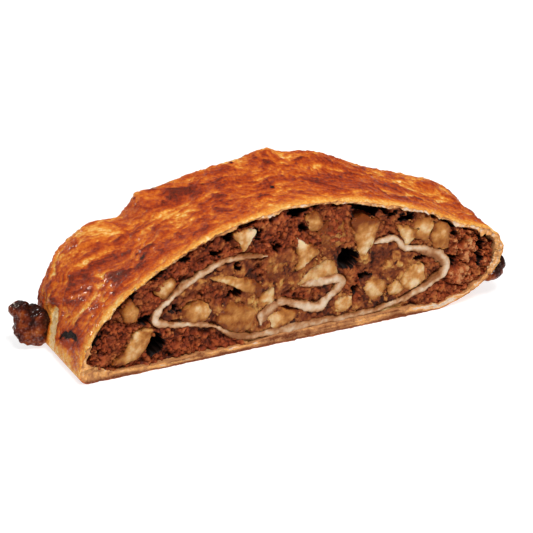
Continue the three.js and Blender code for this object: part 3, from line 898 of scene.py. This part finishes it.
# Clumps beside the lip, and pockets of crumb inside the inner turn: X, Z, width and height
CLUMPS = ((52.8, 20, 3.6, 7), (58, 17.6, 6.4, 8.6), (55.4, 9.8, 8.4, 6.4))
POCKETS = (
    (-25, 19.4, 17, 7), (2, 14.2, 15, 5), (19.4, 9.6, 6, 6), (18.4, 15.6, 7, 10), (-10, 24.4, 6, 6),
    (44.6, 15.4, 7, 7), (-30, 19, 14, 8),
)

# The crumb is fitted round the pieces that it doesn't run over
bare_apple = [piece for piece in apple_pieces if not piece.name.split(".")[0].endswith(HALF_BURIED)]
apple_surface = surface_of(*(piece.data for piece in bare_apple))
dough_surface = surface_of(inner_turn.data, core_fold.data)


def soften_face(values, passes):
    return soften(soften(values, 0, passes), 1, passes)


def bedded_depth(surface, face, cut_y, side):
    """How far behind the cut a bedded surface lies at each place of a face, if it lies there."""
    depth = np.full(face.shape[:-1], np.inf)
    inward = Vector((0, -side, 0))
    for index in np.ndindex(depth.shape):
        start = Vector((face[index][0], cut_y + side * LOOK_FROM, face[index][2]))
        hit = surface.ray_cast(start, inward, LOOK_REACH)[0]
        if hit:
            depth[index] = side * (cut_y - hit.y)
    return depth


def ring_heights(ring, places):
    """The lowest and highest Z inside a ring of the wrap, at places across the slice."""
    right = np.argmax(ring[:, 0])
    left = np.argmin(ring[:, 0])
    upper = ring[right : left + 1][::-1]
    lower = np.concatenate([ring[left:], ring[: right + 1]])
    high = np.interp(places, np.maximum.accumulate(upper[:, 0]), upper[:, 1])
    low = np.interp(places, np.maximum.accumulate(lower[:, 0]), lower[:, 1])
    return low, high


def jumble(x, z, draw, count, usual_reach):
    """Heights and tones of a jumble of grains, where a grid of places looks at them from the front."""
    height = np.full(x.shape, JUMBLE_FLOOR)
    tone = np.full(x.shape, FLOOR_TONE)
    step = x[0, 1] - x[0, 0]
    rise = np.abs(z[1] - z[0])
    for _ in range(count):
        column = draw.integers(0, CRUMB_COLUMNS)
        row = draw.integers(0, CRUMB_ROWS)
        reach = usual_reach * np.clip(math.exp(0.4 * draw.standard_normal()), 0.58, 3)
        level = draw.uniform(-0.65, 0.2) - 0.3 * reach
        shade = 0.50 + 0.12 * draw.standard_normal()
        turn = draw.uniform(0, math.pi)
        stretch = draw.uniform(0.7, 1.0)
        if draw.random() > rise[column] / rise.max():
            continue
        wide = int(reach / step) + 2
        tall = int(reach / max(rise[column], 0.02)) + 2
        window = np.s_[max(row - tall, 0) : row + tall + 1, max(column - wide, 0) : column + wide + 1]
        right = x[window] - x[row, column]
        up = z[window] - z[row, column]
        along = (right * math.cos(turn) + up * math.sin(turn)) / reach
        across = (up * math.cos(turn) - right * math.sin(turn)) / (reach * stretch)
        dome = level + 0.9 * reach * np.sqrt(np.maximum(1 - along**2 - across**2, 0))
        on_top = (along**2 + across**2 < 1) & (dome > height[window])
        height[window] = np.where(on_top, dome, height[window])
        tone[window] = np.where(on_top, shade, tone[window])
    return height, tone


def inside_outline(x, z, outline):
    """True for the places that are inside a closed outline."""
    inside = np.zeros(x.shape, bool)
    for (x1, z1), (x2, z2) in zip(outline, np.roll(outline, -1, 0)):
        if z1 != z2:
            level = (z < z1) != (z < z2)
            inside ^= level & (x < x1 + (z - z1) * (x2 - x1) / (z2 - z1))
    return inside


def crumb_face(ring, cut_y, side, draw):
    """The rough face of the filling at one cut, as a grid of points and values for each of them."""
    xs = np.linspace(ring[:, 0].min() + 0.1 * MM, ring[:, 0].max() - 0.1 * MM, CRUMB_COLUMNS)
    low, high = ring_heights(ring, xs)
    share = np.linspace(0, 1, CRUMB_ROWS)[:, None]
    face = np.zeros((CRUMB_ROWS, CRUMB_COLUMNS, 3))
    face[..., 0] = xs
    face[..., 2] = blend(low - CRUMB_LAP, high + CRUMB_LAP, share)

    # Grains and bits lie on places that are bent a little, so that nothing has a clean edge
    flat = face + [0, side * 0.5, 0]
    bend_x = lumps(flat, 1.4)
    bend_z = lumps(flat + [0, 0.1, 0], 1.4)
    bent_x = face[..., 0] / MM + 0.6 * bend_x
    bent_z = face[..., 2] / MM + 0.6 * bend_z
    grains, tone = jumble(bent_x, bent_z, draw, GRAIN_COUNT, GRAIN_REACH)
    bits, bit_tone = jumble(bent_x, bent_z, draw, BIT_COUNT, BIT_REACH)
    rolling = lumps(flat, 9)
    soft = lumps(flat + [0, 0.8, 0], 4, 4, 0.6)
    fine = lumps(flat, 0.7, 2)
    coarse = lumps(flat + [0, 0.6, 0], 2.2, 4, 0.6)
    pits = smoothstep(0.22, 0.5, lumps(flat + [0, 0.4, 0], 2.4, 2))
    crack = 1 - smoothstep(0.0, 0.08, np.abs(lumps(flat + [0, 0.3, 0], 7)))
    rough_x = bent_x + 0.7 * bend_x
    rough_z = bent_z + 0.7 * bend_z

    def nearest(ovals):
        """How far places are from the nearest of some ovals, which are 1 at their rims."""
        away = [np.hypot((rough_x - x) / wide, (rough_z - z) / tall) * 2 for x, z, wide, tall in ovals]
        return np.min(away, axis=0)

    clump_away = nearest(CLUMPS)
    clump_moat = np.exp(-(((clump_away - 1.12) / 0.12) ** 2))
    clump = 1.1 * np.sqrt(np.maximum(1 - clump_away**2, 0)) - 1.0 * clump_moat
    hollow_away = nearest(HOLLOWS)

    # The crust has come off the crumb in places, most of all on the left, and the gap under it is painted
    # dark as shade
    slope = np.gradient(high, xs)
    under_top = (1 - share) * (high - low) / np.sqrt(1 + slope**2) / MM
    kept_on = 0.12 * smoothstep(-30, -8, bent_x)
    parted = smoothstep(-0.15, 0.1, lumps(flat + [0, 0.9, 0], 4) - kept_on)
    parted = parted * smoothstep(1.7, 0.9, under_top + 0.8 * bend_z)
    hollow = np.maximum(1 - smoothstep(0.80, 1.0, hollow_away), 0.4 * parted)
    # Painted shade: the hollows, a little past their walls, and the gaps under the crust are painted near
    # black
    painted_hollow_shade = np.maximum(1 - smoothstep(1.0, 1.2, hollow_away), parted)

    # What is bedded in the crumb, and how near it is
    apple_depth = bedded_depth(apple_surface, face, cut_y, side)
    dough_depth = bedded_depth(dough_surface, face, cut_y, side)
    on_apple = (apple_depth < np.inf).astype(float)
    on_dough = (dough_depth < np.inf).astype(float)
    crowded = soften_face(on_apple, 8)
    soaked = soften_face(on_apple, 40)
    beside = soften_face(on_dough, 6)
    dough_front = soften_face(np.where(on_dough > 0, dough_depth, 0), 6) / np.maximum(beside, 0.001)

    # Mush inside the inner turn, but for its pockets, and some outside it at the right
    turn_outline = curve_through(INNER_TURN, 2 * MM)[0]
    in_turn = soften_face(inside_outline(face[..., 0], face[..., 2], turn_outline).astype(float), 6)
    in_pocket = 1 - smoothstep(0.7, 1.2, nearest(POCKETS))
    at_right = smoothstep(10, 32, bent_x) * smoothstep(52, 42, bent_x)
    mush = 0.9 * in_turn + 0.35 * at_right * (1 - in_turn)
    mush = np.clip(mush * (1 - 0.85 * in_pocket) + 0.5 * soaked + 0.35 * soft, 0, 1)

    # The crumb laps against some of the apple, has come off the rest, and lies lower than the dough
    lapped = np.maximum(smoothstep(-0.2, 0.2, lumps(flat + [0, 0.2, 0], 5, 2)), 0.88 * mush)
    grainy = grains * (0.40 - 0.30 * mush) + 0.5 * coarse * (1 - 0.6 * mush) + 0.15 * fine
    grainy = grainy - 1.1 * pits * (1 - 0.7 * mush)
    uneven = (0.9 * rolling - 0.5 * crack) * (1 - crowded) * (1 - 0.7 * mush)
    mushy = mush * (0.45 + 0.4 * soft + 0.4 * np.maximum(bits, -0.4))
    at_apple = crowded * (0.9 * (1 - 0.5 * mush) * lapped - 1.2 * (1 - lapped))
    height = grainy + uneven + mushy + at_apple + clump
    sunk = np.maximum(CRUMB_SETBACK - height * MM, 0.1 * MM) + HOLLOW_DEPTH * hollow
    dives = on_apple * np.maximum(smoothstep(0.66, 0.92, crowded + 0.10 * fine + 0.22 * coarse), 1 - lapped)
    clear = 0.12 * MM + 0.5 * MM * smoothstep(0.88, 1, crowded)
    behind = np.maximum(sunk, np.where(on_apple > 0, apple_depth, 0) + clear)
    sunk = blend(sunk, behind, dives)
    below_dough = (dough_front + 0.12 * MM + 0.2 * MM * bend_x) * smoothstep(0.03, 0.3, beside)
    sunk = np.maximum(sunk, np.maximum(below_dough, np.where(on_dough > 0, dough_depth + 0.5 * MM, 0)))
    face[..., 1] = cut_y - side * sunk
    face[..., 2] -= 0.6 * np.maximum(sunk - 1.5 * MM, 0) * share**3

    # Shades: painted shade in cracks, pits and hollows, in the moats round the clumps and in the gaps round
    # the apple, and painted shade where the crumb lies lower; lighter on clumps and between the two sheets
    # on the base
    # Painted shade: the crumb is lighter where its grains and lumps stand higher, darker where they lie
    # lower, and darker in cracks and pits
    crumb_shade = 0.5 * tone + 0.33 + 0.10 * grains + 0.08 * rolling + 0.10 * fine + 0.22 * coarse
    crumb_shade = crumb_shade - 0.15 * crack * (1 - crowded) - 0.22 * pits
    crumb_shade = crumb_shade + 0.14 * smoothstep(44, 54, bent_x)
    mush_shade = 0.26 + 0.40 * soft + 0.15 * rolling + 0.12 * fine + 0.15 * soaked + 0.05 * grains
    mush_shade = mush_shade + np.where(bits > BIT_LEAST, 0.06 + 2.0 * (bit_tone - 0.5), 0)
    # Painted shade in the moats round the clumps
    shade = blend(crumb_shade, mush_shade, mush) + 0.3 * np.minimum(clump, 0)
    shade = shade + 0.26 * (1 - smoothstep(0.7, 1.1, clump_away))
    # Painted shade in the gaps where the crumb has come off the apple
    shade = shade - 0.30 * crowded * (1 - lapped)
    between_sheets = smoothstep(-18, -13, bent_x) * smoothstep(40, 32, bent_x) * smoothstep(5, 4, bent_z)
    mush = np.maximum(mush, between_sheets)
    shade = blend(np.clip(shade, 0.05, 1), 0.85 + 0.2 * soft, between_sheets)
    # Painted shade: hollows and the gaps under the crust go near black
    shade = blend(shade, -0.2, painted_hollow_shade)
    clear_of_dough = beside < 0.1
    edges = crowded * (1 - on_apple) * clear_of_dough
    open_crumb = (on_apple < 0.5) & clear_of_dough & (painted_hollow_shade < 0.1) & (mush < 0.5)
    return {"side": side, "points": face, "shade": shade, "mush": mush, "edges": edges, "open": open_crumb}


draw = np.random.default_rng(CRUMB_SEED)
near_face = crumb_face(inside_xz[-1], near_cut, -1, draw)
far_face = crumb_face(inside_xz[0], far_cut, 1, draw)


def rim_of(face):
    """The outermost points of a crumb face, in order."""
    return np.concatenate([face[0, :-1], face[:-1, -1], face[-1, :0:-1], face[:0:-1, 0]])


# The two faces are joined by packed sides, which stay out of sight inside the wrap
face_count = CRUMB_ROWS * CRUMB_COLUMNS
near_rim = rim_of(np.arange(face_count).reshape(CRUMB_ROWS, CRUMB_COLUMNS))
rim_count = len(near_rim)
core_rings = []
for face in (near_face, far_face):
    ring = rim_of(face["points"])
    inward = CRUMB_HEART - ring
    inward[:, 1] = 0
    inward *= CRUMB_CORE / np.linalg.norm(inward, axis=1, keepdims=True)
    core_rings.append(ring + inward - [0, face["side"] * CORE_BEHIND, 0])
face_points = [face["points"].reshape(-1, 3) for face in (near_face, far_face)]
crumb_points = np.concatenate(face_points + core_rings)
near_core = 2 * face_count + np.arange(rim_count)
side_loops = (near_rim, near_core, near_core + rim_count, near_rim + face_count)
side_faces = []
for first, second in zip(side_loops, side_loops[1:]):
    side_faces.append(np.stack([np.roll(first, -1), first, second, np.roll(second, -1)], -1))
near_faces = grid_faces(CRUMB_ROWS, CRUMB_COLUMNS, False, False)
crumb_faces = np.concatenate([near_faces, near_faces[:, ::-1] + face_count, *side_faces])
core_shade = np.full(2 * rim_count, CORE_SHADE)
shades = np.concatenate([near_face["shade"].ravel(), far_face["shade"].ravel(), core_shade])
mushes = np.concatenate([near_face["mush"].ravel(), far_face["mush"].ravel(), 0 * core_shade])
filling = add_piece("filling", crumb_points, crumb_faces, "crumb", ["filling"], shade=shades, mush=mushes)

# Loose grains lie on the cut faces and stick to the edges of the apple, each with twelve corners
GRAIN_SEED = 31
LOOSE_GRAINS = 900
EDGE_GRAINS = 300
EDGE_LEAST = 0.15  # how crowded by apple a place has to be, to count as an edge
EDGE_STAND = 0.3 * MM  # how far the grains at the edges stand out
FACE_MARGIN = 4  # rows of a face at its top and bottom that stay free of grains
GRAIN_CORNER_COUNT = 12
GOLDEN_RATIO = (1 + math.sqrt(5)) / 2
corner_pairs = [(a, b) for a in (-1, 1) for b in (-GOLDEN_RATIO, GOLDEN_RATIO)]
corner_list = [(a, b, 0) for a, b in corner_pairs]
corner_list += [(0, a, b) for a, b in corner_pairs]
corner_list += [(b, 0, a) for a, b in corner_pairs]
GRAIN_CORNERS = np.array(corner_list) / math.hypot(1, GOLDEN_RATIO)


def grain_sides():
    """The triangles between corners of a grain that are next to each other, facing outward."""
    near = np.linalg.norm(GRAIN_CORNERS[:, None] - GRAIN_CORNERS, axis=-1) < 1.1
    sides = []
    for a, b, c in itertools.combinations(range(GRAIN_CORNER_COUNT), 3):
        if near[a, b] and near[b, c] and near[a, c]:
            facing = np.dot(np.cross(*(GRAIN_CORNERS[[b, c]] - GRAIN_CORNERS[a])), GRAIN_CORNERS[a])
            sides.append((a, b, c) if facing > 0 else (a, c, b))
    return np.array(sides)


def scattered(places):
    """Small uneven grains at places, with a tone for each of their corners."""
    draw = np.random.default_rng(GRAIN_SEED)
    count = len(places)
    reach = np.clip(0.36 * np.exp(0.4 * draw.standard_normal(count)), 0.18, 0.9) * MM
    corners = GRAIN_CORNERS * draw.uniform(0.7, 1.15, (count, GRAIN_CORNER_COUNT, 1))
    corners *= draw.uniform(0.6, 1.1, (count, 1, 3))
    turns = draw.uniform(0, 2 * math.pi, count)[:, None]
    turned_x = corners[..., 0] * np.cos(turns) - corners[..., 2] * np.sin(turns)
    turned_z = corners[..., 0] * np.sin(turns) + corners[..., 2] * np.cos(turns)
    turned = np.stack([turned_x, corners[..., 1], turned_z], -1)
    points = places[:, None] + turned * reach[:, None, None]
    faces = grain_sides()[None] + GRAIN_CORNER_COUNT * np.arange(count)[:, None, None]
    tones = np.clip(0.48 + 0.12 * draw.standard_normal(count), 0.25, 0.8)
    return points.reshape(-1, 3), faces.reshape(-1, 3), np.repeat(tones, GRAIN_CORNER_COUNT)


grain_places = []
grain_soaks = []
for face in (near_face, far_face):
    at_edges = face["edges"] > EDGE_LEAST
    for mask, count, stand in ((face["open"], LOOSE_GRAINS, 0), (at_edges, EDGE_GRAINS, EDGE_STAND)):
        rows, columns = np.nonzero(mask[FACE_MARGIN:-FACE_MARGIN])
        pick = draw.integers(0, len(rows), count)
        picked = (rows[pick] + FACE_MARGIN, columns[pick])
        grain_places.append(face["points"][picked] + [0, face["side"] * stand, 0])
        grain_soaks.append(face["mush"][picked])
grain_points, grain_faces, grain_tones = scattered(np.concatenate(grain_places))
soaked = np.repeat(np.concatenate(grain_soaks), GRAIN_CORNER_COUNT)
loose_grains = add_piece("loose_grains", grain_points, grain_faces, "crumb", shade=grain_tones, mush=soaked)

CRUMB_COLOURS = (
    (0.0, (0.006, 0.002, 0.001)),
    (0.3, (0.13, 0.019, 0.005)),
    (0.52, (0.235, 0.037, 0.009)),
    (0.75, (0.37, 0.080, 0.020)),
    (1.0, (0.50, 0.20, 0.075)),
)
MUSH_COLOURS = (
    (0.0, (0.006, 0.002, 0.001)),
    (0.22, (0.14, 0.026, 0.007)),
    (0.42, (0.28, 0.078, 0.018)),
    (0.60, (0.42, 0.170, 0.040)),
    (0.80, (0.52, 0.270, 0.070)),
    (1.0, (0.62, 0.42, 0.18)),
)
tree, shader = new_material("moist_crumb", filling, loose_grains)
grain, grain_height = grain_node(tree, 0.5)
shade_value = vary(tree, mask_node(tree, "shade"), grain, 0.35)
crumb_colour = colour_ramp(tree, shade_value, CRUMB_COLOURS)
mush_colour = colour_ramp(tree, shade_value, MUSH_COLOURS)
set_inputs(shader, {
    "Base Color": mix_colours(tree, mask_node(tree, "mush"), crumb_colour, mush_colour),
    "Roughness": spread(tree, grain, 0.3, 0.7),
    "Specular IOR Level": 0.12,
})
roughen(tree, shader, grain_height, distance=0.18, strength=0.7)


# The browned juice
# Apple juice boiled out of the roll at its left flank and under its lip, and burnt on with crumbs.
# It set as dark, craggy caramel, glossy in places.
JUICE_VOXEL = 0.32 * MM
JUICE_ROUNDING = 4
JUICE_EDGE = 10 * MM  # nearer than this the left lump is flattened beside the split
JUICE_KEPT = 0.35  # share of its size that is left there


def burnt_juice(node):
    """A craggy lump of burnt juice, darker in its dips."""
    points, normals, faces = remeshed(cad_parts[node].data.copy(), JUICE_VOXEL, JUICE_ROUNDING)
    crags = lumps(points, 4.5)
    grit = lumps(points + [0.3, 0, 0], 1.3, 2)
    stuck_on = between(-72, -69, points[:, 0])
    swell = 1.0 * MM * crags + 0.14 * MM * grit - 0.4 * MM + 0.9 * MM * stuck_on
    points = points + normals * swell[:, None]
    beside_split = (points[:, 0] < 0) & (points[:, 1] < JUICE_EDGE)
    points[beside_split, 1] = JUICE_EDGE - JUICE_KEPT * (JUICE_EDGE - points[beside_split, 1])
    points[:, 2] = np.maximum(points[:, 2], 0.1 * MM)
    burn = 0.36 + 0.3 * crags + 0.15 * grit + 0.7 * lumps(points + [0.6, 0, 0], 4)
    charred = between(6, 10, points[:, 2]) * between(-74, -71, points[:, 0])
    glazed = between(10, 12, points[:, 2]) * between(-71, -74, points[:, 0])
    burn = burn - 0.04 - 0.5 * charred - 0.1 * glazed
    return add_piece(node, points, faces, "caramel", [node], burn=np.clip(burn, 0, 1))


left_juice = burnt_juice("caramel_left")
right_juice = burnt_juice("caramel_right")

CARAMEL_COLOURS = (
    (0.0, (0.02, 0.005, 0.003)),
    (0.35, (0.11, 0.015, 0.004)),
    (0.7, (0.27, 0.058, 0.010)),
    (1.0, (0.46, 0.17, 0.038)),
)
tree, shader = new_material("burnt_juice", left_juice, right_juice)
grain, grain_height = grain_node(tree, 0.7)
burn_value = vary(tree, mask_node(tree, "burn"), grain, 0.5)
set_inputs(shader, {
    "Base Color": colour_ramp(tree, burn_value, CARAMEL_COLOURS),
    "Roughness": spread(tree, grain, 0.25, 0.6),
    "Specular IOR Level": 0.04,
    "Coat Weight": spread(tree, grain, 0.0, 1.0, 0.5, 0.6),
    "Coat Roughness": 0.12,
})
roughen(tree, shader, grain_height, distance=0.15, strength=0.6)


# The studio
# A white sweep that glows a little, under a large soft light over the front and a softer one behind.
# A small warm light at the back left makes the glints on the egg wash.
FLOOR_HALF = 3.0  # half its side, in metres
FLOOR_DROP = 0.05 * MM  # below the slice
floor_mesh = bpy.data.meshes.new("floor")
floor_corners = [(x * FLOOR_HALF, y * FLOOR_HALF, 0) for x, y in ((-1, -1), (1, -1), (1, 1), (-1, 1))]
floor_mesh.from_pydata(floor_corners, [], [(0, 1, 2, 3)])
floor = bpy.data.objects.new("floor", floor_mesh)
floor.location.z = -FLOOR_DROP
bpy.context.scene.collection.objects.link(floor)
tree, shader = new_material("white_sweep", floor)
set_inputs(shader, {
    "Base Color": (0.4, 0.4, 0.4, 1),
    "Roughness": 0.9,
    "Specular IOR Level": 0.1,
    "Emission Color": (1, 1, 1, 1),
    "Emission Strength": 0.75,
})

world = bpy.data.worlds.new("surround")
world.use_nodes = True
set_inputs(world.node_tree.nodes["Background"], {"Color": (1, 1, 1, 1), "Strength": 0.3})
bpy.context.scene.world = world
SLICE_MIDDLE = (0, 0, 18 * MM)


def add_light(name, place, size, power):
    """A square light that looks at the middle of the slice."""
    light = bpy.data.lights.new(name, "AREA")
    light.size = size
    light.energy = power
    lamp = bpy.data.objects.new(name, light)
    lamp.location = place
    lamp.rotation_euler = (Vector(SLICE_MIDDLE) - Vector(place)).to_track_quat("-Z", "Y").to_euler()
    bpy.context.scene.collection.objects.link(lamp)
    return lamp


add_light("key_light", (-0.05, -0.5, 0.85), size=0.35, power=8.6)
back_light = add_light("back_light", (0.25, 0.75, 0.55), size=0.6, power=2.2)
back_light.visible_glossy = False
glints = add_light("glints", (-0.5, 0.75, 0.42), size=0.28, power=4.5)
glints.visible_diffuse = False
glints.data.color = (1, 0.9, 0.76)

# The camera looks down a little, from the left of the near cut
CAMERA_TURN = math.radians(-26)
CAMERA_RISE = math.radians(24)
CAMERA_AWAY = 0.7
back = Vector(
    (
        math.sin(CAMERA_TURN) * math.cos(CAMERA_RISE),
        -math.cos(CAMERA_TURN) * math.cos(CAMERA_RISE),
        math.sin(CAMERA_RISE),
    )
)
camera_data = bpy.data.cameras.new("camera")
camera_data.sensor_width = 36
camera_data.lens = 159.2
camera_data.shift_x = -0.00505
camera_data.shift_y = -0.00908
camera = bpy.data.objects.new("camera", camera_data)
camera.location = Vector(SLICE_MIDDLE) + back * CAMERA_AWAY
camera.rotation_euler = back.to_track_quat("Z", "Y").to_euler()
bpy.context.scene.collection.objects.link(camera)
bpy.context.scene.camera = camera
bpy.context.scene.view_settings.view_transform = "Standard"
